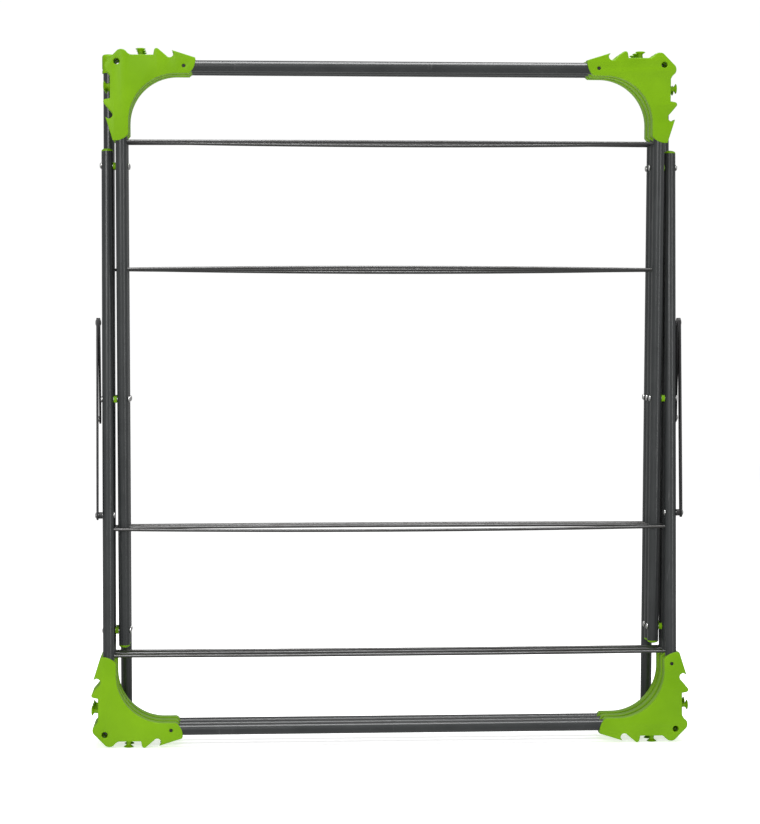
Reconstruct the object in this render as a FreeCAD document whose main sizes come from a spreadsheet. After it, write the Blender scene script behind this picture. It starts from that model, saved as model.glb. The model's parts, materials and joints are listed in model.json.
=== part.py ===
import FreeCAD, Part
import Sketcher
import math
import os

# Folding clothes drying rack: six bent-tube U frames that cross in pairs and are linked like lazy
# tongs. The three top frames run inside the three bottom frames. The rack stands folded flat.
# X is the width, +Y points to the back and +Z up. The origin is under the middle of the rack.

Vector = FreeCAD.Vector
doc = FreeCAD.newDocument("DryingRack")
sheet = doc.addObject("Spreadsheet::Sheet", "Dimensions")

DIMENSIONS = {
    "tube_diameter": 19.0, "tube_wall": 0.8, "bend_radius": 92.0,
    "inner_half_width": 450.0, "outer_half_width": 475.0,
    "crossbar_reach": 554.0, "short_leg": 415.0, "long_leg": 573.0,
    "link_reach": 391.0, "frame_pitch": 30.0, "foot_reach": 583.0,
    "rod_diameter": 5.0, "rod_near": 218.0, "rod_far": 430.0, "rod_inset": 5.0,
    "cover_thickness": 23.0, "cover_clearance": 0.1,
    "peg_place": 33.0, "hanging_hole": 10.0, "hanging_hole_offset": 6.5,
    "cap_depth": 22.0, "cap_floor": 10.0, "plug_depth": 16.0, "plug_dome": 5.0,
    "rivet_diameter": 6.0, "rivet_bore": 6.1, "head_diameter": 10.0, "head_height": 2.7,
    "spacer_diameter": 12.4, "moving_gap": 0.3,
    "stay_long": 323.0, "stay_short": 163.0, "stay_width": 16.0, "stay_thickness": 3.0,
    "stay_inner": 488.0, "stay_gap": 0.3, "stay_front_pin": 194.0, "stay_middle_pin": 34.0,
    "screw_place": 104.0, "screw_diameter": 3.0, "screw_bore": 3.1,
    "screw_head": 5.0, "screw_recess": 5.4,
}
for row, (alias, value) in enumerate(DIMENSIONS.items(), 1):
    sheet.set(f"A{row}", alias)
    sheet.set(f"B{row}", str(value))
    sheet.setAlias(f"B{row}", alias)
doc.recompute()


def size(alias):
    return float(getattr(sheet, alias))


tube_radius = size("tube_diameter") / 2
crossbar = size("crossbar_reach")
lean = math.asin(size("frame_pitch") / (2 * size("link_reach")))
centre_height = (size("foot_reach") * math.cos(lean)
                 + size("cover_thickness") / 2 * math.sin(lean))

# Each frame: place in the row, which way its crossbar points, half width and leg length.
FRAMES = {
    "front_top": (-1, "up", "inner_half_width", "short_leg"),
    "middle_top": (0, "up", "inner_half_width", "short_leg"),
    "rear_top": (1, "up", "inner_half_width", "long_leg"),
    "front_bottom": (-1, "down", "outer_half_width", "short_leg"),
    "middle_bottom": (0, "down", "outer_half_width", "short_leg"),
    "rear_bottom": (1, "down", "outer_half_width", "long_leg"),
}
SIDES = {"right": 1, "left": -1}
FRONT_BOLT_HEAD, KNEE_HEAD, KNEE_SEAT = 2.4, 1.6, 0.1
STAY_SPACER_RADIUS = 5.5
PEG_PROFILE = ((16.0, 4.2), (19.5, 3.6), (23.5, 4.0), (26.3, 9.0), (28.0, 8.6))
PEG_TOP_RADIUS = 6.0
nodes = []


def frame_placement(name):
    """Puts a frame's own +Z along its legs towards its crossbar, and its origin at its middle."""
    row, way, _, _ = FRAMES[name]
    tilt = math.degrees(lean) if way == "up" else 180 - math.degrees(lean)
    turn = FreeCAD.Rotation(Vector(1, 0, 0), tilt)
    return FreeCAD.Placement(Vector(0, row * size("frame_pitch"), centre_height), turn)


def point_on(name, reach):
    return frame_placement(name).multVec(Vector(0, 0, reach))


def keep(part, label, placement):
    part.Label = label
    part.Placement = placement
    nodes.append(part)
    return part


def plane(body, role):
    return next(item for item in body.Origin.OriginFeatures if item.Role == role)


def new_body(name):
    return doc.addObject("PartDesign::Body", name)


def new_sketch(body, role, name):
    sketch = body.newObject("Sketcher::SketchObject", name)
    sketch.AttachmentSupport = [(plane(body, role), "")]
    sketch.MapMode = "FlatFace"
    return sketch


def bind(sketch, kind, where, value, expression):
    """Adds one dimension to a sketch and ties it to the sheet."""
    number = sketch.addConstraint(Sketcher.Constraint(kind, *where, value))
    sketch.setExpression(f"Constraints[{number}]", expression)


def outline(sketch, curves):
    for curve in curves:
        sketch.addGeometry(curve, False)


def circle_in(sketch, x, y, diameter, expression, place=("", "")):
    """A circle whose diameter, and centre where it is given, follow the sheet."""
    index = sketch.addGeometry(Part.Circle(Vector(x, y, 0), Vector(0, 0, 1), diameter / 2), False)
    bind(sketch, "Diameter", (index,), diameter, expression)
    if place[0]:
        bind(sketch, "DistanceX", (-1, 1, index, 3), x, place[0])
    if place[1]:
        bind(sketch, "DistanceY", (-1, 1, index, 3), y, place[1])
    return index


def symmetric(feature, length, expression=""):
    feature.SideType = "Symmetric"
    feature.Length = length
    if expression:
        feature.setExpression("Length", expression)


def lines(points):
    return [Part.LineSegment(Vector(*a, 0), Vector(*b, 0)) for a, b in zip(points, points[1:])]


# ---------------------------------------------------------------- bent tubes

def tube_path(body, half, half_name, leg, leg_name):
    """Up one leg, round two bends and down the other leg."""
    bend = size("bend_radius")
    sketch = new_sketch(body, "XZ_Plane", body.Name + "_path")
    flat, high = half - bend, crossbar - bend
    middle = Vector(0, 0, 1)
    outline(sketch, [
        Part.LineSegment(Vector(half, -leg, 0), Vector(half, high, 0)),
        Part.ArcOfCircle(Part.Circle(Vector(flat, high, 0), middle, bend), 0, math.pi / 2),
        Part.LineSegment(Vector(flat, crossbar, 0), Vector(-flat, crossbar, 0)),
        Part.ArcOfCircle(Part.Circle(Vector(-flat, high, 0), middle, bend), math.pi / 2, math.pi),
        Part.LineSegment(Vector(-half, high, 0), Vector(-half, -leg, 0)),
    ])
    for joint in ((0, 2, 1, 1), (1, 2, 2, 1), (2, 2, 3, 1), (3, 2, 4, 1)):
        sketch.addConstraint(Sketcher.Constraint("Tangent", *joint))
    sketch.addConstraint(Sketcher.Constraint("Vertical", 0))
    sketch.addConstraint(Sketcher.Constraint("Horizontal", 2))
    sketch.addConstraint(Sketcher.Constraint("Vertical", 4))
    sketch.addConstraint(Sketcher.Constraint("Equal", 1, 3))
    bind(sketch, "Radius", (1,), bend, "Dimensions.bend_radius")
    bind(sketch, "DistanceX", (-1, 1, 0, 1), half, f"Dimensions.{half_name}")
    bind(sketch, "DistanceY", (0, 1, -1, 1), leg, f"Dimensions.{leg_name}")
    bind(sketch, "DistanceY", (-1, 1, 2, 1), crossbar, "Dimensions.crossbar_reach")
    bind(sketch, "DistanceX", (4, 2, -1, 1), half, f"Dimensions.{half_name}")
    bind(sketch, "DistanceY", (4, 2, -1, 1), leg, f"Dimensions.{leg_name}")
    return sketch


def through_pocket(body, sketch, length):
    before = body.Shape.Volume
    pocket = body.newObject("PartDesign::Pocket", sketch.Name + "_cut")
    pocket.Profile = sketch
    symmetric(pocket, length)
    doc.recompute()
    if body.Shape.Volume >= before:
        raise RuntimeError(f"{sketch.Name} removed nothing")


def rod_heights(name):
    near, far = size("rod_near"), size("rod_far")
    return [far, near, -near] if FRAMES[name][3] == "long_leg" else [far, near]


def pivot_heights(name):
    """Where a frame's legs are bored: its middle, and each end that links to a neighbour."""
    row, way, _, _ = FRAMES[name]
    reach = size("link_reach")
    ends = []
    if row > -1:
        ends.append(reach)
    if row < 1:
        ends.append(-reach)
    return [0.0] + ends


def stay_bores(name):
    return [size("stay_front_pin")] if name == "front_bottom" else []


def make_tube(name):
    _, _, half_name, leg_name = FRAMES[name]
    half, leg = size(half_name), size(leg_name)
    body = new_body(name + "_tube_body")
    path = tube_path(body, half, half_name, leg, leg_name)
    ring = new_sketch(body, "XY_Plane", body.Name + "_ring")
    ring.AttachmentOffset = FreeCAD.Placement(Vector(0, 0, -leg), FreeCAD.Rotation())
    ring.setExpression("AttachmentOffset.Base.z", f"-Dimensions.{leg_name}")
    bore = size("tube_diameter") - 2 * size("tube_wall")
    circle_in(ring, half, 0, size("tube_diameter"), "Dimensions.tube_diameter",
              (f"Dimensions.{half_name}", ""))
    circle_in(ring, half, 0, bore, "Dimensions.tube_diameter - 2 * Dimensions.tube_wall",
              (f"Dimensions.{half_name}", ""))
    pipe = body.newObject("PartDesign::AdditivePipe", body.Name + "_pipe")
    pipe.Profile = ring
    pipe.Spine = (path, [f"Edge{number}" for number in range(1, 6)])
    doc.recompute()
    bores = new_sketch(body, "YZ_Plane", body.Name + "_bores")
    for height in pivot_heights(name) + stay_bores(name):
        circle_in(bores, 0, height, size("rivet_bore"), "Dimensions.rivet_bore")
    through_pocket(body, bores, 2 * half + 4 * tube_radius)
    seats = new_sketch(body, "YZ_Plane", body.Name + "_rod_seats")
    for height in rod_heights(name):
        circle_in(seats, 0, height, size("rod_diameter"), "Dimensions.rod_diameter")
    through_pocket(body, seats, 2 * (half - size("rod_inset")))
    screws = new_sketch(body, "XZ_Plane", body.Name + "_screw_bores")
    for side_name, side in SIDES.items():
        across, along = screw_spot(name, side_name)
        circle_in(screws, side * (half + across), crossbar + along, size("screw_bore"),
                  "Dimensions.screw_bore")
    through_pocket(body, screws, 4 * tube_radius)
    return keep(body, name + "_frame", frame_placement(name))


# ---------------------------------------------------------------- corner covers

def screw_spot(name, side_name):
    """The screw sits in the crossbar arm, except that one cover is fitted the other way up."""
    place = -size("screw_place")
    return (0.0, place) if swapped(name, side_name) else (place, 0.0)


def swapped(name, side_name):
    return name == "front_bottom" and side_name == "right"


def cover_outline():
    """Half the outline, from the arm's end to the corner, then the same again mirrored."""
    end_inner, end_outer = (-112.0, -12.5), (-123.0, 13.5)
    hook_tip, hook_mouth = (-84.5, 25.5), (-87.5, 21.0)
    notch_bottom, notch_exit = (-81.5, 13.6), (-75.5, 16.5)
    tooth_rise, tooth_tip, tooth_back = (-63.0, 27.0), (-60.5, 28.6), (-55.5, 25.5)
    tooth_foot, base_end = (-54.0, 17.7), (-17.0, 17.7)
    lobe_rise, lobe_top = (-9.0, 23.5), (-4.0, 26.5)

    def flip(point):
        return (point[1], point[0])

    def arc(first, middle, last):
        return Part.Arc(Vector(*first, 0), Vector(*middle, 0), Vector(*last, 0))

    def half(turn):
        spots = {key: turn(value) for key, value in {
            "end_inner": end_inner, "end_outer": end_outer, "hook_tip": hook_tip,
            "hook_mouth": hook_mouth, "notch_exit": notch_exit, "tooth_rise": tooth_rise,
            "tooth_back": tooth_back, "tooth_foot": tooth_foot, "base_end": base_end,
            "lobe_rise": lobe_rise}.items()}
        flat = Part.LineSegment
        pairs = (("end_outer", "hook_tip"), ("hook_tip", "hook_mouth"),
                 ("notch_exit", "tooth_rise"), ("tooth_back", "tooth_foot"),
                 ("tooth_foot", "base_end"))
        curves = [flat(Vector(*spots[a], 0), Vector(*spots[b], 0)) for a, b in pairs]
        curves.append(arc(spots["end_inner"], turn((-121.0, -2.0)), spots["end_outer"]))
        curves.append(arc(spots["hook_mouth"], turn(notch_bottom), spots["notch_exit"]))
        curves.append(arc(spots["tooth_rise"], turn(tooth_tip), spots["tooth_back"]))
        curves.append(arc(spots["base_end"], turn((-12.6, 20.0)), spots["lobe_rise"]))
        curves.append(arc(spots["lobe_rise"], turn((-6.6, 25.6)), turn(lobe_top)))
        return curves

    curves = half(lambda point: point) + half(flip)
    lobe_edge, shoulder = (5.0, 25.0), (1.0, 26.6)
    curves.append(arc(lobe_top, shoulder, lobe_edge))
    curves.append(arc(flip(lobe_top), flip(shoulder), flip(lobe_edge)))
    curves += lines([lobe_edge, flip(lobe_edge)])
    bend = size("bend_radius")
    inner = bend + end_inner[1]
    turn = Vector(-bend, -bend, 0)
    curves.append(Part.ArcOfCircle(Part.Circle(turn, Vector(0, 0, 1), inner), 0, math.pi / 2))
    curves += lines([end_inner, (-bend, end_inner[1])])
    curves += lines([(end_inner[1], -bend), flip(end_inner)])
    return curves


def add_pegs(body):
    """Two mushroom pegs, one on each outer edge, turned about their own stems."""
    base, place = PEG_PROFILE[0][0], size("peg_place")
    top = size("foot_reach") - crossbar
    profile = [(base, 0), *PEG_PROFILE, (top, PEG_TOP_RADIUS), (top, 0), (base, 0)]
    for name, axis in (("top_peg", "V_Axis"), ("side_peg", "H_Axis")):
        sketch = new_sketch(body, "XZ_Plane", f"{body.Name}_{name}")
        along_z = axis == "V_Axis"
        points = [(out, along) if along_z else (along, out) for along, out in profile]
        shift = Vector(-place, 0, 0) if along_z else Vector(0, 0, -place)
        sketch.AttachmentOffset = FreeCAD.Placement(Vector(shift.x, shift.z, 0), FreeCAD.Rotation())
        outline(sketch, lines(points))
        peg = body.newObject("PartDesign::Revolution", f"{body.Name}_{name}_turned")
        peg.Profile = sketch
        peg.ReferenceAxis = (sketch, [axis])
        peg.Angle = 360
        doc.recompute()


def make_cover(name, side_name):
    body = new_body(f"{name}_{side_name}_cover_body")
    shape = new_sketch(body, "XZ_Plane", body.Name + "_outline")
    outline(shape, cover_outline())
    circle_in(shape, size("hanging_hole_offset"), size("hanging_hole_offset"), size("hanging_hole"),
              "Dimensions.hanging_hole", ("Dimensions.hanging_hole_offset",
                                          "Dimensions.hanging_hole_offset"))
    pad = body.newObject("PartDesign::Pad", body.Name + "_pad")
    pad.Profile = shape
    symmetric(pad, size("cover_thickness"), "Dimensions.cover_thickness")
    doc.recompute()
    add_pegs(body)
    bend, reach = size("bend_radius"), 180.0
    path = new_sketch(body, "XZ_Plane", body.Name + "_path")
    outline(path, lines([(0, -reach), (0, -bend)]))
    turn = Part.Circle(Vector(-bend, -bend, 0), Vector(0, 0, 1), bend)
    outline(path, [Part.ArcOfCircle(turn, 0, math.pi / 2)])
    outline(path, lines([(-bend, 0), (-reach, 0)]))
    ring = new_sketch(body, "XY_Plane", body.Name + "_ring")
    ring.AttachmentOffset = FreeCAD.Placement(Vector(0, 0, -reach), FreeCAD.Rotation())
    circle_in(ring, 0, 0, size("tube_diameter") + 2 * size("cover_clearance"),
              "Dimensions.tube_diameter + 2 * Dimensions.cover_clearance")
    channel = body.newObject("PartDesign::SubtractivePipe", body.Name + "_channel")
    channel.Profile = ring
    channel.Spine = (path, ["Edge1", "Edge2", "Edge3"])
    doc.recompute()
    cut_screw_recess(body, name, side_name)
    return keep(body, f"{name}_{side_name}_corner", cover_placement(name, side_name))


def cut_screw_recess(body, name, side_name):
    """Sinks the screw's recess into the face that looks to the front of the rack."""
    front = size("cover_thickness") / 2
    up = FRAMES[name][1] == "up"
    screw = new_sketch(body, "XZ_Plane", body.Name + "_screw")
    depth = Vector(0, 0, front if up else -front)
    screw.AttachmentOffset = FreeCAD.Placement(depth, FreeCAD.Rotation())
    in_side_arm = swapped(name, side_name) or side_name == "left"
    place = -size("screw_place")
    if in_side_arm:
        circle_in(screw, 0, place, size("screw_recess"), "Dimensions.screw_recess")
    else:
        circle_in(screw, place, 0, size("screw_recess"), "Dimensions.screw_recess")
    before = body.Shape.Volume
    recess = body.newObject("PartDesign::Pocket", body.Name + "_recess")
    recess.Profile = screw
    recess.Length = front
    recess.Reversed = not up
    doc.recompute()
    if body.Shape.Volume >= before:
        raise RuntimeError(body.Name + " has no screw recess")


def cover_placement(name, side_name):
    """The outline is the same about its diagonal, so a quarter turn makes a left cover."""
    half = size(FRAMES[name][2])
    side = SIDES[side_name]
    turn = FreeCAD.Rotation(Vector(0, 1, 0), 0 if side > 0 else -90)
    spot = FreeCAD.Placement(Vector(side * half, 0, crossbar), turn)
    return frame_placement(name).multiply(spot)


# ---------------------------------------------------------------- rods, plugs, caps and screws

def cylinder(name, diameter, length, place, direction, binding=""):
    rod = doc.addObject("Part::Cylinder", name)
    rod.Radius = diameter / 2
    rod.Height = length
    if binding:
        rod.setExpression("Radius", binding)
    rod.Placement = FreeCAD.Placement(place, FreeCAD.Rotation(Vector(0, 0, 1), direction))
    return rod


def group(name, label, parts, placement):
    bundle = doc.addObject("Part::Compound", name)
    bundle.Links = parts
    return keep(bundle, label, placement)


def make_rods(name):
    half = size(FRAMES[name][2])
    reach = half - size("rod_inset") - 0.5
    rods = [cylinder(f"{name}_rod_{number}", size("rod_diameter"), 2 * reach,
                     Vector(-reach, 0, height), Vector(1, 0, 0), "Dimensions.rod_diameter / 2")
            for number, height in enumerate(rod_heights(name), 1)]
    group(f"{name}_rod_set", name + "_rods", rods, frame_placement(name))


def make_plug(name, side_name, half, leg):
    """A stem in the tube, and a domed head over its end."""
    place = Vector(SIDES[side_name] * half, 0, 0)
    stem = cylinder(f"{name}_{side_name}_stem", size("tube_diameter") - 2 * size("tube_wall") - 0.2,
                    size("plug_depth"), place + Vector(0, 0, -leg - 0.2), Vector(0, 0, 1))
    dome = doc.addObject("Part::Ellipsoid", f"{name}_{side_name}_dome")
    dome.Radius1 = size("plug_dome")
    dome.Radius2 = tube_radius - 0.3
    dome.Radius3 = tube_radius - 0.3
    dome.Angle1 = -90
    dome.Angle2 = 0
    dome.Placement = FreeCAD.Placement(place + Vector(0, 0, -leg - 0.1), FreeCAD.Rotation())
    plug = doc.addObject("Part::Fuse", f"{name}_{side_name}_plug")
    plug.Base, plug.Tool = stem, dome
    return plug


def make_cap(name, side_name, half, leg):
    """A cup pushed over the tube's end."""
    place = Vector(SIDES[side_name] * half, 0, -size("foot_reach"))
    cup = cylinder(f"{name}_{side_name}_cup", size("cover_thickness"),
                   size("cap_depth") + size("cap_floor"), place, Vector(0, 0, 1),
                   "Dimensions.cover_thickness / 2")
    bore = cylinder(f"{name}_{side_name}_cup_bore", size("tube_diameter") + 0.1, 60.0,
                    place + Vector(0, 0, size("foot_reach") - leg - 0.1), Vector(0, 0, 1))
    cap = doc.addObject("Part::Cut", f"{name}_{side_name}_cap")
    cap.Base, cap.Tool = cup, bore
    return cap


def make_ends(name):
    half, leg = size(FRAMES[name][2]), size(FRAMES[name][3])
    long_leg = FRAMES[name][3] == "long_leg"
    build = make_cap if long_leg else make_plug
    ends = [build(name, side_name, half, leg) for side_name in SIDES]
    word = "caps" if long_leg else "plugs"
    group(f"{name}_end_set", f"{name}_{word}", ends, frame_placement(name))


def make_screws(name):
    """One short screw from each cover's recess into the tube."""
    half = size(FRAMES[name][2])
    front = -1 if FRAMES[name][1] == "up" else 1
    screws = []
    for side_name, side in SIDES.items():
        across, along = screw_spot(name, side_name)
        surface = tube_radius + size("cover_clearance")
        spot = Vector(side * (half + across), front * surface, crossbar + along)
        head = cylinder(f"{name}_{side_name}_screw_head", size("screw_head"), 1.6,
                        spot, Vector(0, front, 0), "Dimensions.screw_head / 2")
        shank = cylinder(f"{name}_{side_name}_screw_shank", size("screw_diameter"), 6.0,
                         spot, Vector(0, -front, 0), "Dimensions.screw_diameter / 2")
        screw = doc.addObject("Part::Fuse", f"{name}_{side_name}_screw")
        screw.Base, screw.Tool = head, shank
        screws.append(screw)
    group(f"{name}_screw_set", name + "_screws", screws, frame_placement(name))


# ---------------------------------------------------------------- pivots and stays

def turned_pair(label, profile, centre):
    """A left and a right piece turned about one line across the rack."""
    body = new_body(label + "_body")
    sketch = new_sketch(body, "XZ_Plane", label + "_profile")
    for side in SIDES.values():
        for curve in profile:
            ends = [Vector(side * x, out, 0) for x, out in curve]
            sketch.addGeometry(Part.LineSegment(*ends), False)
    turned = body.newObject("PartDesign::Revolution", label + "_turned")
    turned.Profile = sketch
    turned.ReferenceAxis = (sketch, ["H_Axis"])
    turned.Angle = 360
    doc.recompute()
    return keep(body, label, FreeCAD.Placement(Vector(0, centre.y, centre.z), FreeCAD.Rotation()))


def head_points(face, height, way):
    """A domed head with a small flat on top: shares of its height, and of its radius there."""
    head = size("head_diameter") / 2
    dome = ((0.0, 1.0), (0.3, 0.96), (0.65, 0.78), (0.9, 0.5), (1.0, 0.24), (1.0, 0.0))
    return [(face + way * height * up, head * share) for up, share in dome]


def rivet_profile(inner, outer, height, inner_head=True):
    """A shank along X between two domed heads, or one head and a plain end."""
    shank = size("rivet_diameter") / 2
    points = [(inner, shank), (outer, shank)] + head_points(outer, height, 1)
    if inner_head:
        points += head_points(inner, height, -1)[::-1]
    else:
        points += [(inner, 0)]
    points.append((inner, shank))
    return list(zip(points, points[1:]))


def ring_profile(inner, outer, bore, radius):
    corners = [(inner, bore), (outer, bore), (outer, radius), (inner, radius), (inner, bore)]
    return list(zip(corners, corners[1:]))


PIVOTS = {
    "front_centre": ("front_top", 0), "middle_centre": ("middle_top", 0),
    "rear_centre": ("rear_top", 0), "front_upper": ("middle_top", 1),
    "front_lower": ("front_top", -1), "rear_upper": ("rear_top", 1),
    "rear_lower": ("middle_top", -1),
}


def make_pivot(name):
    frame, end = PIVOTS[name]
    centre = point_on(frame, end * size("link_reach"))
    gap = size("moving_gap")
    inner = size("inner_half_width") - tube_radius - gap
    outer = size("outer_half_width") + tube_radius + gap
    turned_pair(name + "_rivets", rivet_profile(inner, outer, size("head_height")), centre)
    turned_pair(name + "_spacers",
                ring_profile(size("inner_half_width") + tube_radius + gap,
                             size("outer_half_width") - tube_radius - gap,
                             size("rivet_bore") / 2, size("spacer_diameter") / 2), centre)


def stay_points():
    """Front pin, knee and middle pin of the folded elbow stay, seen from the side."""
    first = point_on("front_bottom", size("stay_front_pin"))
    last = point_on("middle_bottom", size("stay_middle_pin"))
    span = (last - first).Length
    long_arm, short_arm = size("stay_long"), size("stay_short")
    cosine = (long_arm ** 2 + span ** 2 - short_arm ** 2) / (2 * long_arm * span)
    lean_back = math.atan2(last.y - first.y, last.z - first.z) - math.acos(cosine)
    knee = first + Vector(0, math.sin(lean_back), math.cos(lean_back)) * long_arm
    return first, knee, last


def make_link(label, start, finish, middle_x, reach_name):
    """A flat bar with round ends and a bored hole at each pin."""
    body = new_body(label + "_body")
    reach, half = size(reach_name), size("stay_width") / 2
    sketch = new_sketch(body, "YZ_Plane", label + "_outline")
    turn = Vector(0, 0, 1)
    outline(sketch, lines([(half, 0), (half, reach)]) + lines([(-half, reach), (-half, 0)]))
    outline(sketch, [
        Part.ArcOfCircle(Part.Circle(Vector(0, reach, 0), turn, half), 0, math.pi),
        Part.ArcOfCircle(Part.Circle(Vector(0, 0, 0), turn, half), math.pi, 2 * math.pi)])
    for height in (0.0, reach):
        circle_in(sketch, 0, height, size("rivet_bore"), "Dimensions.rivet_bore")
    pad = body.newObject("PartDesign::Pad", label + "_pad")
    pad.Profile = sketch
    symmetric(pad, size("stay_thickness"), "Dimensions.stay_thickness")
    doc.recompute()
    aim = finish - start
    tilt = math.degrees(math.atan2(-aim.y, aim.z))
    place = Vector(middle_x, start.y, start.z)
    keep(body, label, FreeCAD.Placement(place, FreeCAD.Rotation(Vector(1, 0, 0), tilt)))


def make_stays():
    front_pin, knee, middle_pin = stay_points()
    thick, gap = size("stay_thickness"), size("stay_gap")
    short_x = size("stay_inner") + thick / 2
    long_x = short_x + thick + gap
    for side_name, side in SIDES.items():
        make_link(f"{side_name}_long_stay", front_pin, knee, side * long_x, "stay_long")
        make_link(f"{side_name}_short_stay", knee, middle_pin, side * short_x, "stay_short")
    outside = long_x + thick / 2 + gap
    tube_side = size("outer_half_width") + tube_radius
    turned_pair("stay_front_bolts",
                rivet_profile(size("outer_half_width") - tube_radius - gap, outside, FRONT_BOLT_HEAD),
                front_pin)
    turned_pair("stay_front_spacers",
                ring_profile(tube_side + gap, long_x - thick / 2 - gap, size("rivet_bore") / 2,
                             STAY_SPACER_RADIUS), front_pin)
    turned_pair("stay_knee_rivets", rivet_profile(size("stay_inner") - KNEE_SEAT, outside, KNEE_HEAD), knee)
    clear_of_heads = tube_side + 2 * size("moving_gap") + size("head_height")
    turned_pair("stay_middle_rivets",
                rivet_profile(clear_of_heads, short_x + thick / 2 + gap, size("head_height"),
                              inner_head=False), middle_pin)


def check_and_export():
    for item in doc.Objects:
        if "Invalid" in item.State or "Error" in item.State:
            raise RuntimeError(f"{item.Name} failed: {item.State}")
    os.makedirs("parts", exist_ok=True)
    for node in nodes:
        shape = node.Shape
        if shape.isNull() or not shape.isValid() or not shape.Solids:
            raise RuntimeError(node.Label + " has no valid solid")
        shape.exportStep(f"parts/{node.Label}.step")
    print(len(nodes), "nodes")


for frame_name in FRAMES:
    make_tube(frame_name)
    make_rods(frame_name)
    make_ends(frame_name)
    make_screws(frame_name)
    for cover_side in SIDES:
        make_cover(frame_name, cover_side)
for pivot_name in PIVOTS:
    make_pivot(pivot_name)
make_stays()
doc.recompute()
check_and_export()
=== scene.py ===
"""Clothes drying rack: six tube frames with green corner covers, folded flat and standing up."""
import json
import math

import bmesh
import bpy
from mathutils import Matrix, Vector


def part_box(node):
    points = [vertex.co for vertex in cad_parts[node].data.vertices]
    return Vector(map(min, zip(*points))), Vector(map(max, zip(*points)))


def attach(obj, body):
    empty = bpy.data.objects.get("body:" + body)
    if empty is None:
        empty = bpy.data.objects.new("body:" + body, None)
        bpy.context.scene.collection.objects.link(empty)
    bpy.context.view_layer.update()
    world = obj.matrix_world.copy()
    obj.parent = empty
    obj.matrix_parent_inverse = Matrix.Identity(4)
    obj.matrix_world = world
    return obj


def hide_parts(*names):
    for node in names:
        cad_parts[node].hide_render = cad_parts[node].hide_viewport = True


MM = 0.001
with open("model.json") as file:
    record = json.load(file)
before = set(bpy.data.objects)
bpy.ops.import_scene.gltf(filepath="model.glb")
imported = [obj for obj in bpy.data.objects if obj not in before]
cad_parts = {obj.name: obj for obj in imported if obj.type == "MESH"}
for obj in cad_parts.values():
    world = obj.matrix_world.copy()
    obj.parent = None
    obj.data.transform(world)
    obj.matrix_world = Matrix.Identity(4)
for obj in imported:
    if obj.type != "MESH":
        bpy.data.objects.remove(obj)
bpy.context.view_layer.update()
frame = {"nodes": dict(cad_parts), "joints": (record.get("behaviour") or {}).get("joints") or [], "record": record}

# ------------------------------------------------------------------ sizes

TUBE_RADIUS = 9.5 * MM
BEND_RADIUS = 92 * MM
CROSSBAR_REACH = 554 * MM
FOOT_REACH, SHORT_LEG, LONG_LEG = 583 * MM, 415 * MM, 573 * MM
COVER_THICKNESS = 23 * MM
COVER_EDGE = 1.7 * MM
HEAD_RADIUS, HEAD_HEIGHT, SHANK_RADIUS = 5 * MM, 2.7 * MM, 3 * MM
MOVING_GAP = 0.3 * MM
ROD_RADIUS, ROD_NEAR, ROD_FAR, ROD_INSET = 2.5 * MM, 218 * MM, 430 * MM, 5.5 * MM
ROD_BOWS = (0.6, 3.4, -4.0, -0.4, 1.1, -4.4, 0.8, 1.2, 3.8, 0.6, -1.2, 0.9, -0.8, 2.6)
CAP_HEIGHT, CAP_RADIUS = 32 * MM, 11.5 * MM
PLUG_HEIGHT, PLUG_RADIUS = 5 * MM, 9.3 * MM
STAY_EDGE = 0.6 * MM
TINY = 1e-6
SOFTEN_ANGLE = 38

# The cover's outline is drawn in millimetres, from the crossing of its two tube lines.
ARM_INSIDE = 12.5
PEG_PLACE, PEG_BASE = 33, 16.0
SCREW_PLACE, SCREW_HOLE_RADIUS = 104, 2.7
HANGING_HOLE_PLACE, HANGING_HOLE_RADIUS = 6.5, 5.0

FLOOR_SIZE, WALL_RADIUS, WALL_HEIGHT = 14, 14, 40
CAMERA_DISTANCE, VIEW_HEIGHT, SENSOR = 3.9, 1.40, 36
CAMERA_AZIMUTH, CAMERA_ELEVATION = 3.5, 2.5
AIM_LEFT, AIM_BELOW = 0.0170, 0.0235

pivots = {joint["name"]: Vector(joint["pos_m"]) for joint in frame["joints"]}
centre = pivots["middle_centre_pivot"]
rise = pivots["fold"] - centre
tilt = math.atan2(-rise.y, rise.z)
pitch = -2 * rise.y

# Each frame: its place from front to back, and whether its crossbar is at the top.
FRAMES = {"front_top": (-1, True), "middle_top": (0, True), "rear_top": (1, True),
          "front_bottom": (-1, False), "middle_bottom": (0, False), "rear_bottom": (1, False)}
SIDES = {"left": -1, "right": 1}


def frame_place(name):
    """From a frame's own axes, +Z towards its crossbar, to where it stands."""
    row, up = FRAMES[name]
    turn = tilt if up else math.pi - tilt
    stand = centre + Vector((0, row * pitch, 0))
    return Matrix.Translation(stand) @ Matrix.Rotation(turn, 4, "X")


def half_width(name):
    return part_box(name + "_frame")[1][0] - TUBE_RADIUS


# ------------------------------------------------------------------ modelling tools

def nothing_picked():
    if bpy.context.mode != "OBJECT":
        bpy.ops.object.mode_set(mode="OBJECT")
    bpy.ops.object.select_all(action="DESELECT")


def only(piece):
    nothing_picked()
    piece.select_set(True)
    bpy.context.view_layer.objects.active = piece


def pick_faces(piece, wanted):
    """Goes into edit mode with just the faces that pass the test selected."""
    only(piece)
    bpy.ops.object.mode_set(mode="EDIT")
    bpy.ops.mesh.select_mode(type="FACE")
    bpy.ops.mesh.select_all(action="DESELECT")
    shape = bmesh.from_edit_mesh(piece.data)
    for face in shape.faces:
        face.select_set(wanted(face))
    shape.select_flush_mode()
    bmesh.update_edit_mesh(piece.data)


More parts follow.
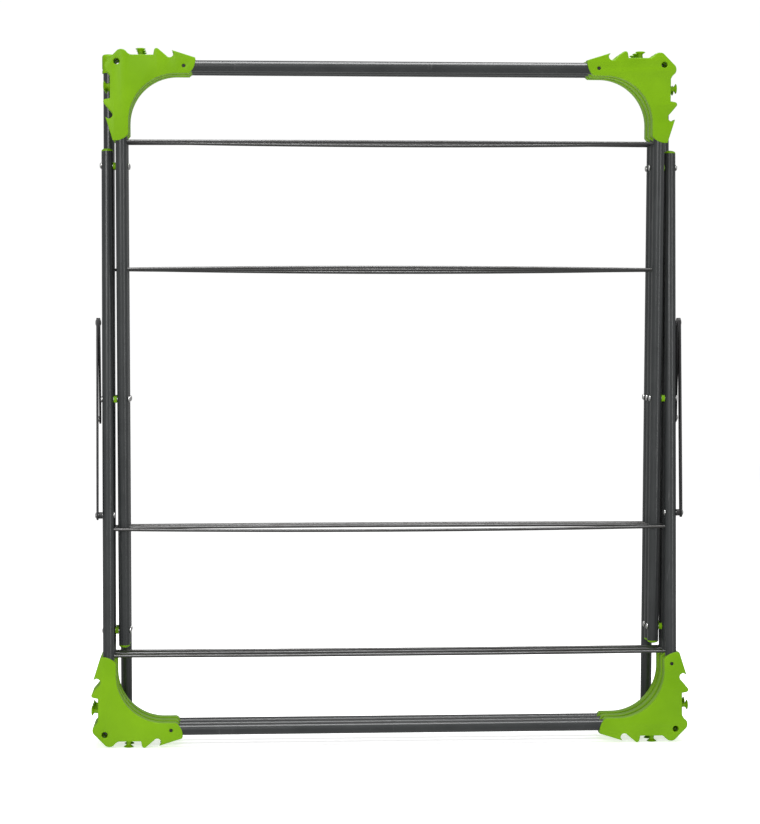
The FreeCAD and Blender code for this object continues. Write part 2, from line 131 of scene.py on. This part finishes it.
def pick_edges(piece, wanted):
    only(piece)
    bpy.ops.object.mode_set(mode="EDIT")
    bpy.ops.mesh.select_mode(type="EDGE")
    bpy.ops.mesh.select_all(action="DESELECT")
    shape = bmesh.from_edit_mesh(piece.data)
    for edge in shape.edges:
        edge.select_set(wanted(edge))
    bmesh.update_edit_mesh(piece.data)


def round_rims(piece, amount, segments=4, where=lambda z: True):
    """Rounds a turned piece's rims: edges that run round its Z axis at the wanted heights."""
    pick_edges(piece, lambda edge: abs(edge.verts[0].co.z - edge.verts[1].co.z) < 1e-7
               and where(edge.verts[0].co.z) and edge.calc_face_angle(0) > 0.5)
    bpy.ops.mesh.bevel(offset=amount, segments=segments, affect="EDGES", clamp_overlap=True)
    bpy.ops.object.mode_set(mode="OBJECT")


def turned(name, radius, height, vertices=40):
    """A round bar standing on z = 0, ready to be shaped."""
    nothing_picked()
    bpy.ops.mesh.primitive_cylinder_add(vertices=vertices, radius=radius, depth=height,
                                        location=(0, 0, height / 2))
    piece = bpy.context.active_object
    piece.name = name
    bpy.ops.object.transform_apply(location=True, rotation=True, scale=True)
    return piece


def grow_top(piece, steps):
    """Extrudes the top face by each rise in turn, and scales it each time."""
    top = max(vertex.co.z for vertex in piece.data.vertices)
    pick_faces(piece, lambda face: face.normal.z > 0.9 and face.calc_center_median().z > top - TINY)
    for up, scale in steps:
        bpy.ops.mesh.extrude_region_move(TRANSFORM_OT_translate={"value": (0, 0, up)})
        bpy.ops.transform.resize(value=(scale, scale, 1))
    bpy.ops.object.mode_set(mode="OBJECT")


def copied(piece, name, place):
    """A copy with its own mesh, put in place there."""
    mesh = piece.data.copy()
    mesh.transform(place)
    copy = bpy.data.objects.new(name, mesh)
    bpy.context.scene.collection.objects.link(copy)
    return copy


def joined(name, pieces):
    nothing_picked()
    for piece in pieces:
        piece.select_set(True)
    bpy.context.view_layer.objects.active = pieces[0]
    if len(pieces) > 1:
        bpy.ops.object.join()
    pieces[0].name = name
    return pieces[0]


def soften(piece):
    only(piece)
    bpy.ops.object.shade_smooth_by_angle(angle=math.radians(SOFTEN_ANGLE))


def finished(piece, body, slot, finish, *nodes):
    """Gives a piece its finish and its body, and hides the CAD nodes that it stands for."""
    soften(piece)
    piece.data.materials.clear()
    piece.data.materials.append(finish)
    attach(piece, body)
    if nodes:
        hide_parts(*nodes)
    return piece


# ------------------------------------------------------------------ shader tools

class Wire:
    """A node's output that can stand in a sum."""

    def __init__(self, tree, socket):
        self.tree, self.socket = tree, socket

    def sum(self, operation, first, second):
        node = self.tree.nodes.new("ShaderNodeMath")
        node.operation = operation
        for place, value in enumerate((first, second)):
            if isinstance(value, Wire):
                self.tree.links.new(value.socket, node.inputs[place])
            else:
                node.inputs[place].default_value = value
        return Wire(self.tree, node.outputs[0])

    def __add__(self, other):
        return self.sum("ADD", self, other)

    __radd__ = __add__

    def __mul__(self, other):
        return self.sum("MULTIPLY", self, other)

    __rmul__ = __mul__


class Finish:
    """One material, with its nodes made by name."""

    def __init__(self, name):
        self.material = bpy.data.materials.new(name)
        self.material.use_nodes = True
        self.tree = self.material.node_tree
        self.shader = self.tree.nodes["Principled BSDF"]
        self.place = self.node("ShaderNodeTexCoord", output="Object")

    def node(self, kind, output=0, settings=None, **values):
        node = self.tree.nodes.new(kind)
        for key, value in (settings or {}).items():
            setattr(node, key, value)
        for key, value in values.items():
            socket = node.inputs[int(key[1:]) if key[0] == "i" and key[1:].isdigit() else key]
            if isinstance(value, Wire):
                self.tree.links.new(value.socket, socket)
            else:
                socket.default_value = value
        return Wire(self.tree, node.outputs[output])

    def spread(self, stretch):
        """Object coordinates scaled by a different amount on each axis."""
        return self.node("ShaderNodeMapping", Vector=self.place, Scale=stretch)

    def cloud(self, scale, detail=3.0, place=None):
        return self.node("ShaderNodeTexNoise", output="Fac", Vector=place or self.place,
                         Scale=scale, Detail=detail)

    def band(self, value, low, high):
        """0 below low, 1 above high, and a straight rise between."""
        return self.node("ShaderNodeMapRange", i0=value, i1=low, i2=high, i3=0.0, i4=1.0)

    def mix(self, first, second, factor):
        return self.node("ShaderNodeMix", output=2, settings={"data_type": "RGBA"},
                         i0=factor, i6=first, i7=second)

    def bump(self, height, distance, strength=1.0):
        return self.node("ShaderNodeBump", Height=height, Distance=distance, Strength=strength)

    def set(self, **values):
        """Links what varies to the shader, and types what doesn't on its socket."""
        for key, value in values.items():
            socket = self.shader.inputs[key.replace("_", " ")]
            if isinstance(value, Wire):
                self.tree.links.new(value.socket, socket)
            else:
                socket.default_value = value
        return self.material


def grey(value, red=1.0, green=1.0, blue=1.0):
    return (value * red, value * green, value * blue, 1)


# ------------------------------------------------------------------ finishes

def tube_lacquer():
    finish = Finish("grey_tube_lacquer")
    cloud = finish.cloud(22, 4)
    orange_peel = finish.cloud(1500, 2)
    rubs = finish.band(finish.cloud(1.0, 6, finish.spread((260, 260, 26))), 0.64, 0.74)
    base = finish.mix(grey(0.018, 0.92, 1.02, 1.04), grey(0.034, 0.94, 1.02, 1.04), cloud)
    base = finish.mix(base, grey(0.09), rubs * 0.3)
    return finish.set(Base_Color=base, Roughness=0.26 + 0.12 * cloud + 0.15 * rubs,
                      Metallic=0.1, Specular_IOR_Level=0.45, Coat_Weight=0.2, Coat_Roughness=0.15,
                      Normal=finish.bump(orange_peel, 0.00006, 0.5))


def green_plastic():
    finish = Finish("lime_green_plastic")
    flow = finish.cloud(11, 3)
    grain = finish.cloud(2400, 2)
    specks = finish.band(finish.cloud(420, 3), 0.66, 0.74)
    base = finish.mix((0.112, 0.250, 0.001, 1), (0.150, 0.311, 0.002, 1), finish.band(flow, 0.3, 0.7))
    base = finish.mix(base, (0.19, 0.36, 0.01, 1), specks * 0.2)
    return finish.set(Base_Color=base, Roughness=0.30 + 0.14 * flow + 0.08 * specks,
                      Specular_IOR_Level=0.14, Normal=finish.bump(grain, 0.00005, 0.45))


def drawn_steel():
    finish = Finish("drawn_steel_rod")
    draw_lines = finish.cloud(1.0, 3, finish.spread((9, 1400, 1400)))
    patches = finish.cloud(30, 3)
    base = finish.mix(grey(0.085), grey(0.17), draw_lines)
    base = finish.mix(base, grey(0.08, 1.05, 1.0, 0.92), finish.band(patches, 0.5, 0.72) * 0.6)
    return finish.set(Base_Color=base, Metallic=1.0, Roughness=0.30 + 0.22 * patches,
                      Normal=finish.bump(draw_lines, 0.00005, 0.4))


def bright_zinc():
    finish = Finish("bright_zinc")
    spangle = finish.cloud(700, 3)
    dull = finish.cloud(160, 4)
    base = finish.mix(grey(0.46, 1.0, 1.0, 0.97), grey(0.72), spangle)
    return finish.set(Base_Color=base, Metallic=1.0, Roughness=0.22 + 0.25 * dull,
                      Normal=finish.bump(spangle, 0.00003, 0.4))


# Near-black steel for the covers' zinc screws: painted shade of their sunk holes, not the screws' own colour.
def screw_shade_steel():
    finish = Finish("painted_shade_screw_steel")
    wear = finish.cloud(600, 3)
    return finish.set(Base_Color=finish.mix(grey(0.010), grey(0.035), wear), Metallic=0.6,
                      Roughness=0.45 + 0.2 * wear, Normal=finish.bump(wear, 0.00003, 0.4))


def black_lacquer():
    finish = Finish("black_stay_lacquer")
    cloud = finish.cloud(35, 4)
    scuffs = finish.band(finish.cloud(1.0, 6, finish.spread((300, 300, 60))), 0.63, 0.72)
    base = finish.mix(grey(0.014), grey(0.028, 1, 1, 1.05), cloud)
    base = finish.mix(base, grey(0.10), scuffs * 0.5)
    return finish.set(Base_Color=base, Roughness=0.36 + 0.16 * cloud, Metallic=0.2,
                      Normal=finish.bump(cloud, 0.0001, 0.3))


def plain_paper():
    finish = Finish("pale_floor")
    soft = finish.cloud(0.8, 2)
    return finish.set(Base_Color=finish.mix(grey(0.80), grey(0.84), soft), Roughness=0.9,
                      Emission_Color=(1, 1, 1, 1), Emission_Strength=0.66)


FINISHES = {"lacquered_tube": tube_lacquer(), "green_plastic": green_plastic(),
            "steel_rod": drawn_steel(), "zinc_fastener": bright_zinc(),
            "black_stay": black_lacquer()}
# The covers' screws get this near-black painted shade in place of their zinc finish.
SCREW_SHADE_FINISH = screw_shade_steel()


def dress_frame():
    """Every CAD node takes the finish of its own slot, except the covers' sunk screws, which are painted
    near-black as painted shade of their holes.
    """
    slots = {part["node"]: part["material_slot"] for part in frame["record"]["subparts"]}
    for name, node in frame["nodes"].items():
        node.data.materials.clear()
        node.data.materials.append(SCREW_SHADE_FINISH if name.endswith("_screws") else FINISHES[slots[name]])


# ------------------------------------------------------------------ corner covers

def arc_through(first, middle, last, steps=6):
    """Points round the circle through three points, without the first."""
    a, b, c = (complex(*point) for point in (first, middle, last))
    w = (c - a) / (b - a)
    hub = (b - a) * (w - abs(w) ** 2) / (2j * w.imag) + a
    start, turn = a - hub, (b - a) / (c - a)
    sweep = math.atan2(((c - hub) / start).imag, ((c - hub) / start).real)
    halfway = math.atan2(((b - hub) / start).imag, ((b - hub) / start).real)
    if (sweep > 0) != (halfway > 0) or abs(halfway) > abs(sweep):
        sweep -= math.copysign(2 * math.pi, sweep)
    points = [hub + start * complex(math.cos(sweep * n / steps), math.sin(sweep * n / steps))
              for n in range(1, steps + 1)]
    return [(point.real, point.imag) for point in points]


def side_arm():
    """The top arm from its inner end round the hook, tooth and base to the corner lobe."""
    points = [(-112.0, -ARM_INSIDE)]
    points += arc_through(points[-1], (-121.0, -2.0), (-123.0, 13.5), 7)
    points += [(-84.5, 25.5), (-87.5, 21.0)]
    points += arc_through(points[-1], (-81.5, 13.6), (-75.5, 16.5), 9)
    points.append((-63.0, 27.0))
    points += arc_through(points[-1], (-60.5, 28.6), (-55.5, 25.5), 6)
    points += [(-54.0, 17.7), (-17.0, 17.7)]
    points += arc_through(points[-1], (-12.6, 20.0), (-9.0, 23.5), 4)
    points += arc_through(points[-1], (-6.6, 25.6), (-4.0, 26.5), 3)
    points += arc_through(points[-1], (1.0, 26.6), (5.0, 25.0), 4)
    return points


def cover_outline():
    """Up one arm and down the other, then back round the inner bend."""
    arm = side_arm()
    points = arm + [(across, along) for along, across in reversed(arm)]
    bend = BEND_RADIUS / MM
    inner, steps = bend - ARM_INSIDE, 28
    for number in range(steps + 1):
        angle = math.pi / 2 * number / steps
        points.append((-bend + inner * math.cos(angle), -bend + inner * math.sin(angle)))
    return points


def ring(x, y, radius, steps=28):
    return [(x + radius * math.cos(2 * math.pi * n / steps),
             y + radius * math.sin(2 * math.pi * n / steps)) for n in range(steps)]


def cover_plate(name, screw_spot):
    """The cover's flat moulding, with rounded edges and its two holes."""
    curve = bpy.data.curves.new(name, "CURVE")
    curve.dimensions = "2D"
    curve.fill_mode = "BOTH"
    curve.bevel_depth = COVER_EDGE
    curve.bevel_resolution = 3
    curve.offset = -COVER_EDGE
    curve.extrude = COVER_THICKNESS / 2 - COVER_EDGE
    hanging = ring(HANGING_HOLE_PLACE, HANGING_HOLE_PLACE, HANGING_HOLE_RADIUS)
    for points in (cover_outline(), hanging, ring(*screw_spot, SCREW_HOLE_RADIUS, 20)):
        line = curve.splines.new("POLY")
        line.points.add(len(points) - 1)
        for spot, (x, y) in zip(line.points, points):
            spot.co = (x * MM, y * MM, 0, 1)
        line.use_cyclic_u = True
    plate = bpy.data.objects.new(name, curve)
    bpy.context.scene.collection.objects.link(plate)
    only(plate)
    bpy.ops.object.convert(target="MESH")
    plate = bpy.context.active_object
    only(plate)
    bpy.ops.object.mode_set(mode="EDIT")
    bpy.ops.mesh.select_all(action="SELECT")
    bpy.ops.mesh.remove_doubles(threshold=TINY)
    bpy.ops.mesh.normals_make_consistent(inside=False)
    bpy.ops.object.mode_set(mode="OBJECT")
    return plate


def mushroom_peg():
    """A waisted stem with a flared round head."""
    peg = turned("peg", 4.2 * MM, 3.5 * MM, 32)
    grow_top(peg, [(3.5 * MM, 0.88), (1.6 * MM, 1.18), (1.4 * MM, 1.5), (1.2 * MM, 1.28),
                   (0.7 * MM, 0.97), (0.7 * MM, 0.8), (0.35 * MM, 0.72)])
    return peg


def corner_cover(name, in_side_arm):
    spot = (0, -SCREW_PLACE) if in_side_arm else (-SCREW_PLACE, 0)
    plate = cover_plate(name, spot)
    peg = mushroom_peg()
    base = PEG_BASE * MM
    up = Matrix.Rotation(-math.pi / 2, 4, "X")
    side = Matrix.Rotation(math.pi / 2, 4, "Y")
    pegs = [copied(peg, "top_peg", Matrix.Translation((-PEG_PLACE * MM, base, 0)) @ up),
            copied(peg, "side_peg", Matrix.Translation((base, -PEG_PLACE * MM, 0)) @ side)]
    bpy.data.objects.remove(peg)
    return joined(name, [plate] + pegs)


def make_covers():
    models = {arm: corner_cover(f"cover_model_{arm}", arm == "side") for arm in ("side", "top")}
    stand_up = Matrix.Rotation(math.pi / 2, 4, "X")
    for name in FRAMES:
        for side_name, side in SIDES.items():
            swapped = name == "front_bottom" and side_name == "right"
            model = models["side" if swapped or side_name == "left" else "top"]
            quarter = Matrix.Rotation(0 if side > 0 else -math.pi / 2, 4, "Y")
            spot = Matrix.Translation((side * half_width(name), 0, CROSSBAR_REACH))
            place = frame_place(name) @ spot @ quarter @ stand_up
            cover = copied(model, f"{name}_{side_name}_cover", place)
            finished(cover, name, "green_plastic", FINISHES["green_plastic"],
                     f"{name}_{side_name}_corner")
    for model in models.values():
        bpy.data.objects.remove(model)


# ------------------------------------------------------------------ turned and flat fittings

def middle_of(node):
    """The Y and Z of the line that a node's left and right pieces share."""
    low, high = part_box(node)
    return (low[1] + high[1]) / 2, (low[2] + high[2]) / 2


def across(side):
    """Turns a piece that stands on z = 0 to lie along X, pointing away from the rack's middle."""
    return Matrix.Rotation(side * math.pi / 2, 4, "Y")


def domed_head(name, radius, height):
    """A rivet head: a low dome built up in rings."""
    head = turned(name, radius, height * 0.25, 36)
    grow_top(head, [(height * 0.25, 0.94), (height * 0.2, 0.86), (height * 0.16, 0.76),
                    (height * 0.09, 0.62), (height * 0.05, 0.5)])
    return head


def rivet(name, inner, outer_face, side, spot):
    """A shank between two domed heads, lying along X."""
    head = domed_head("head", HEAD_RADIUS, HEAD_HEIGHT)
    shank = turned("shank", SHANK_RADIUS, outer_face - inner, 24)
    outwards, inwards = across(side), across(-side)
    parts = [copied(head, name, Matrix.Translation((side * outer_face, *spot)) @ outwards),
             copied(head, "inner_head", Matrix.Translation((side * inner, *spot)) @ inwards),
             copied(shank, "shank_in_place", Matrix.Translation((side * inner, *spot)) @ outwards)]
    for model in (head, shank):
        bpy.data.objects.remove(model)
    return joined(name, parts)


PIVOTS = ("middle_centre", "front_centre", "rear_centre", "front_upper", "front_lower",
          "rear_upper", "rear_lower")


def body_with(node):
    """The body that carries a CAD node."""
    bodies = frame["record"]["behaviour"]["bodies"]
    return next(body for body, nodes in bodies.items() if node in nodes)


def spacer_ring(name, length, radius, side, start, spot):
    """A moulded spacer with a raised collar at each end."""
    ring_piece = turned(name + "_model", radius * 0.93, length * 0.22)
    grow_top(ring_piece, [(length * 0.08, 0.94), (length * 0.4, 1.0), (length * 0.08, 1.064),
                          (length * 0.22, 1.0)])
    round_rims(ring_piece, 0.35 * MM, 3, lambda z: z < TINY or z > length - TINY)
    place = Matrix.Translation((side * start, *spot)) @ across(side)
    spacer = copied(ring_piece, name, place)
    bpy.data.objects.remove(ring_piece)
    return spacer


def make_pivots():
    inner_frame, outer_frame = half_width("front_top"), half_width("front_bottom")
    inner = inner_frame - TUBE_RADIUS - MOVING_GAP
    outside = outer_frame + TUBE_RADIUS + MOVING_GAP
    start = inner_frame + TUBE_RADIUS + MOVING_GAP
    length = outer_frame - TUBE_RADIUS - MOVING_GAP - start
    for name in PIVOTS:
        rivets, spacers = name + "_rivets", name + "_spacers"
        spot = middle_of(rivets)
        radius = (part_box(spacers)[1][2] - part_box(spacers)[0][2]) / 2
        pair = [rivet(f"{name}_{side_name}_rivet", inner, outside, side, spot)
                for side_name, side in SIDES.items()]
        finished(joined(name + "_rivet_pair", pair), body_with(rivets), "zinc_fastener",
                 FINISHES["zinc_fastener"], rivets)
        rings = [spacer_ring(f"{name}_{side_name}_ring", length, radius, side, start, spot)
                 for side_name, side in SIDES.items()]
        finished(joined(name + "_spacer_pair", rings), body_with(spacers), "green_plastic",
                 FINISHES["green_plastic"], spacers)


def swept(name, points, radius, sides):
    """A round bar along a smooth line of points."""
    curve = bpy.data.curves.new(name, "CURVE")
    curve.dimensions = "3D"
    curve.bevel_depth = radius
    curve.bevel_resolution = sides // 4 - 1
    curve.use_fill_caps = True
    line = curve.splines.new("POLY")
    line.points.add(len(points) - 1)
    for spot, point in zip(line.points, points):
        spot.co = (*point, 1)
    bar = bpy.data.objects.new(name, curve)
    bpy.context.scene.collection.objects.link(bar)
    only(bar)
    bpy.ops.object.convert(target="MESH")
    return bpy.context.active_object


def make_tubes():
    """Each frame is one tube: up a leg, round two bends and down the other leg."""
    steps = 22
    for name in FRAMES:
        half = half_width(name)
        leg = LONG_LEG if name.startswith("rear") else SHORT_LEG
        flat, high = half - BEND_RADIUS, CROSSBAR_REACH - BEND_RADIUS
        bend = [(flat + BEND_RADIUS * math.cos(math.pi / 2 * n / steps), 0,
                 high + BEND_RADIUS * math.sin(math.pi / 2 * n / steps)) for n in range(steps + 1)]
        other = [(-x, y, z) for x, y, z in reversed(bend)]
        tube = swept(name + "_tube_model", [(half, 0, -leg), *bend, *other, (-half, 0, -leg)],
                     TUBE_RADIUS, 40)
        bent = copied(tube, name + "_bent_tube", frame_place(name))
        bpy.data.objects.remove(tube)
        finished(bent, name, "lacquered_tube", FINISHES["lacquered_tube"], name + "_frame")


def make_rods():
    """Thin drawn rods between the legs, each bowed a few millimetres by use."""
    number, steps = 0, 16
    for name in FRAMES:
        heights = [ROD_FAR, ROD_NEAR] + ([-ROD_NEAR] if name.startswith("rear") else [])
        reach = half_width(name) - ROD_INSET
        rods = []
        for height in heights:
            bow = ROD_BOWS[number] * MM
            number += 1
            points = []
            for step in range(steps + 1):
                x = reach * (2 * step / steps - 1)
                points.append((x, 0, height + bow * (1 - (x / reach) ** 2)))
            model = swept("rod_model", points, ROD_RADIUS, 20)
            rods.append(copied(model, f"{name}_rod_{len(rods) + 1}", frame_place(name)))
            bpy.data.objects.remove(model)
        finished(joined(name + "_drawn_rods", rods), name, "steel_rod", FINISHES["steel_rod"],
                 name + "_rods")


def end_cap(name, height, radius):
    """A pushed-on cap: straight skirt, shallow waist line and a crowned end."""
    cap = turned(name, radius * 0.985, height * 0.12, 48)
    grow_top(cap, [(height * 0.04, 0.955), (height * 0.06, 1.0), (height * 0.04, 1.063),
                   (height * 0.6, 1.0), (height * 0.08, 0.94), (height * 0.04, 0.86),
                   (height * 0.02, 0.7)])
    return cap


def end_plug(name, height, radius):
    """A domed head with a thin flange that covers the tube's end."""
    plug = turned(name, radius, height * 0.28, 44)
    grow_top(plug, [(height * 0.22, 0.93), (height * 0.2, 0.84), (height * 0.14, 0.76),
                    (height * 0.1, 0.62), (height * 0.06, 0.4)])
    return plug


def make_ends():
    """Caps on the long legs and plugs in the short ones, pointing away from the crossbar."""
    for name in FRAMES:
        long_leg = name.startswith("rear")
        node = name + ("_caps" if long_leg else "_plugs")
        half = half_width(name)
        if long_leg:
            height, radius = CAP_HEIGHT, CAP_RADIUS
            model = end_cap("cap_model", height, radius)
            start = height - FOOT_REACH
        else:
            height, radius = PLUG_HEIGHT, PLUG_RADIUS
            model = end_plug("plug_model", height, radius)
            start = -SHORT_LEG
        upside_down = Matrix.Rotation(math.pi, 4, "X")
        ends = [copied(model, f"{name}_{side_name}_end", frame_place(name)
                       @ Matrix.Translation((side * half, 0, start)) @ upside_down)
                for side_name, side in SIDES.items()]
        bpy.data.objects.remove(model)
        finished(joined(node + "_moulded", ends), name, "green_plastic",
                 FINISHES["green_plastic"], node)


def make_stay_bars():
    """The flat stays keep their CAD shape, with their pressed edges rounded."""
    for name in ("left_long_stay", "right_long_stay", "left_short_stay", "right_short_stay"):
        bar = copied(frame["nodes"][name], name + "_pressed", Matrix.Identity(4))
        only(bar)
        bpy.ops.object.mode_set(mode="EDIT")
        bpy.ops.mesh.select_all(action="SELECT")
        bpy.ops.mesh.remove_doubles(threshold=TINY)
        bpy.ops.mesh.dissolve_limited(angle_limit=math.radians(1))
        bpy.ops.object.mode_set(mode="OBJECT")
        edge = bar.modifiers.new("pressed_edge", "BEVEL")
        edge.width, edge.segments, edge.limit_method = STAY_EDGE, 3, "ANGLE"
        edge.angle_limit = math.radians(50)
        only(bar)
        bpy.ops.object.modifier_apply(modifier=edge.name)
        finished(bar, body_with(name), "black_stay", FINISHES["black_stay"], name)


# ------------------------------------------------------------------ room and camera

def make_studio():
    nothing_picked()
    bpy.ops.mesh.primitive_plane_add(size=1)
    floor = bpy.context.active_object
    floor.name = "floor"
    floor.scale = (FLOOR_SIZE, FLOOR_SIZE, 1)
    bpy.ops.object.transform_apply(scale=True)
    floor.data.materials.append(plain_paper())
    floor.visible_glossy = False
    far_wall()
    world = bpy.data.worlds.new("studio")
    bpy.context.scene.world = world
    world.use_nodes = True
    world.node_tree.nodes["Background"].inputs["Color"].default_value = (1, 1, 1, 1)
    world.node_tree.nodes["Background"].inputs["Strength"].default_value = 0.38
    bpy.context.scene.view_settings.view_transform = "Standard"
    soft_box("key", (-1.6, -3.6, 2.0), (1.5, 2.2), 66)
    soft_box("fill", (2.6, -3.0, 1.0), (0.6, 2.4), 24)
    soft_box("top", (0.2, -0.35, 3.2), (2.6, 1.2), 110)


def far_wall():
    """A round white wall beyond the floor, which lights nothing and casts no shadow."""
    nothing_picked()
    bpy.ops.mesh.primitive_cylinder_add(vertices=96, radius=WALL_RADIUS, depth=WALL_HEIGHT,
                                        end_fill_type="NOTHING")
    wall = bpy.context.active_object
    wall.name = "far_wall"
    wall.visible_diffuse = wall.visible_glossy = wall.visible_shadow = False
    wall.visible_transmission = wall.visible_volume_scatter = False
    white = Finish("far_white")
    wall.data.materials.append(white.set(Base_Color=grey(0.0), Emission_Color=(1, 1, 1, 1),
                                         Emission_Strength=1.0))


def soft_box(name, place, spread, power):
    light = bpy.data.lights.new(name, "AREA")
    light.shape = "RECTANGLE"
    light.size, light.size_y = spread
    light.energy = power
    box = bpy.data.objects.new(name, light)
    box.location = place
    box.rotation_euler = (centre - Vector(place)).to_track_quat("-Z", "Y").to_euler()
    bpy.context.scene.collection.objects.link(box)


def make_camera():
    azimuth, elevation = math.radians(CAMERA_AZIMUTH), math.radians(CAMERA_ELEVATION)
    camera = bpy.data.cameras.new("camera")
    camera.sensor_width = SENSOR
    camera.lens = SENSOR * CAMERA_DISTANCE / VIEW_HEIGHT
    eye = bpy.data.objects.new("camera", camera)
    back = Vector((-math.sin(azimuth) * math.cos(elevation),
                   -math.cos(azimuth) * math.cos(elevation), math.sin(elevation)))
    aim = centre + Vector((-AIM_LEFT, 0, -AIM_BELOW))
    eye.location = aim + back * CAMERA_DISTANCE
    eye.rotation_euler = (-back).to_track_quat("-Z", "Y").to_euler()
    bpy.context.scene.collection.objects.link(eye)
    bpy.context.scene.camera = eye


make_camera()
make_studio()
dress_frame()
make_tubes()
make_rods()
make_covers()
make_pivots()
make_ends()
make_stay_bars()
